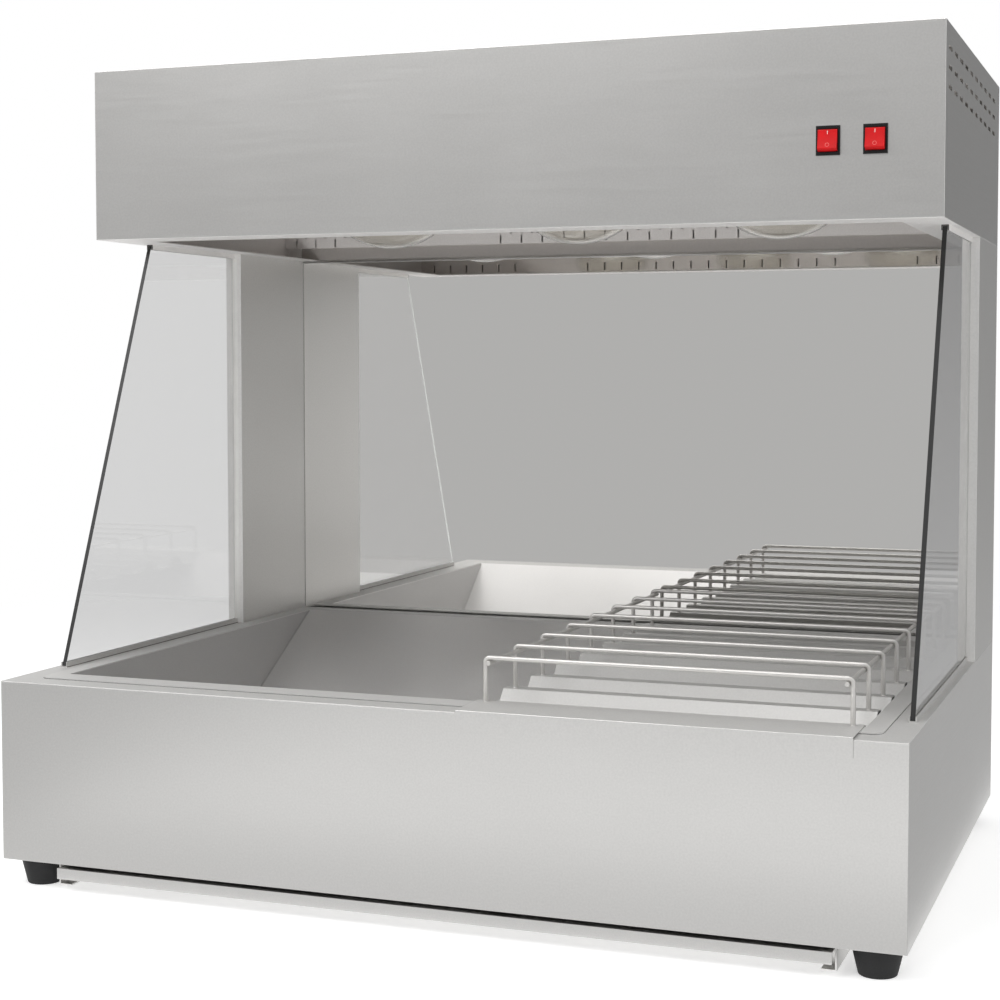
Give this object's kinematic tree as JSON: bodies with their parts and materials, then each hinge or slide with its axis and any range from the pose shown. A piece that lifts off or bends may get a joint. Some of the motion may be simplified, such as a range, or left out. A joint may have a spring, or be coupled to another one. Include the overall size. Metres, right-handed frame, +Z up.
{
  "type": "chip scuttle",
  "caption": "Counter-top heated chip scuttle: steel base with drop-in pan, ridged bag rack and crumb tray, glass sides, mirror back and a vented hood with infrared lamps and rocker switches.",
  "frame": {"origin": "on the standing surface, under the middle of the whole object", "axes": "+X to the right seen from the front, +Y from the front to the back, +Z up"},
  "size_m": [1, 0.7026, 0.93],
  "materials": {
    "brushed_stainless": "fine brushed grain with a protective matt sheen",
    "galvanised_runner": "plain rolled sheet",
    "satin_stainless": "satin rolled sheet",
    "polished_stainless": "mirror polished",
    "stainless_wire": "bright polished wire",
    "toughened_glass": "clear toughened glass with ground edges",
    "lamp_glass": "clear pressed glass",
    "lamp_brass": "bright stamped brass",
    "glazed_ceramic": "glazed ceramic",
    "foot_rubber": "moulded matt",
    "black_nylon": "moulded, lightly textured",
    "red_rocker": "glossy, lit from inside when on",
    "white_nylon": "moulded",
    "plated_fastener": "bright zinc plate"
  },
  "bodies": {
    "cabinet": {"base_back": "brushed_stainless", "base_floor": "brushed_stainless", "base_front": "brushed_stainless", "base_side_left": "brushed_stainless", "base_side_right": "brushed_stainless", "deck": "brushed_stainless", "foot_bolts": "plated_fastener", "foot_front_left": "foot_rubber", "foot_front_right": "foot_rubber", "foot_rear_left": "foot_rubber", "foot_rear_right": "foot_rubber", "glass_head_left": "brushed_stainless", "glass_head_right": "brushed_stainless", "glass_left": "toughened_glass", "glass_right": "toughened_glass", "glass_sill_left": "brushed_stainless", "glass_sill_right": "brushed_stainless", "hood_back": "brushed_stainless", "hood_front": "brushed_stainless", "hood_guard": "polished_stainless", "hood_liner": "polished_stainless", "hood_side_left": "brushed_stainless", "hood_side_right": "brushed_stainless", "hood_top": "brushed_stainless", "inlet_pins": "lamp_brass", "lamp_caps": "lamp_brass", "lamp_glass_1": "lamp_glass", "lamp_glass_2": "lamp_glass", "lamp_glass_3": "lamp_glass", "lamp_holders": "glazed_ceramic", "lamp_rail": "brushed_stainless", "mirror_panel": "polished_stainless", "post_left": "brushed_stainless", "post_right": "brushed_stainless", "power_inlet": "black_nylon", "rear_panel": "brushed_stainless", "rear_screws": "plated_fastener", "switch_housing_left": "black_nylon", "switch_housing_right": "black_nylon", "switch_tabs": "lamp_brass", "terminal_block": "white_nylon", "tray_runner_left": "galvanised_runner", "tray_runner_right": "galvanised_runner"},
    "tray": {"crumb_tray": "satin_stainless"},
    "pan": {"pan": "satin_stainless"},
    "rack": {"rack_sheet": "satin_stainless", "rack_rail_left": "stainless_wire", "rack_rail_right": "stainless_wire", "rack_bow_1": "stainless_wire", "rack_bow_2": "stainless_wire", "rack_bow_3": "stainless_wire", "rack_bow_4": "stainless_wire", "rack_bow_5": "stainless_wire", "rack_bow_6": "stainless_wire", "rack_bow_7": "stainless_wire", "rack_bow_8": "stainless_wire"},
    "left_rocker": {"rocker_left": "red_rocker"},
    "right_rocker": {"rocker_right": "red_rocker"}
  },
  "joints": [
    {"name": "tray_slide", "type": "slide", "parent": "cabinet", "child": "tray", "axis": [0, -1, 0], "range_m": [0, 0.45]},
    {"name": "pan_lift", "type": "slide", "parent": "cabinet", "child": "pan", "axis": [0, 0, 1], "range_m": [0, 0.17]},
    {"name": "rack_lift", "type": "slide", "parent": "pan", "child": "rack", "axis": [0, 0, 1], "range_m": [0, 0.2]},
    {"name": "left_rocker_tilt", "type": "hinge", "parent": "cabinet", "child": "left_rocker", "pos_m": [0.3808, -0.1495, 0.812], "axis": [1, 0, 0], "range_deg": [0, 18]},
    {"name": "right_rocker_tilt", "type": "hinge", "parent": "cabinet", "child": "right_rocker", "pos_m": [0.4297, -0.1495, 0.812], "axis": [1, 0, 0], "range_deg": [0, 18]}
  ]
}
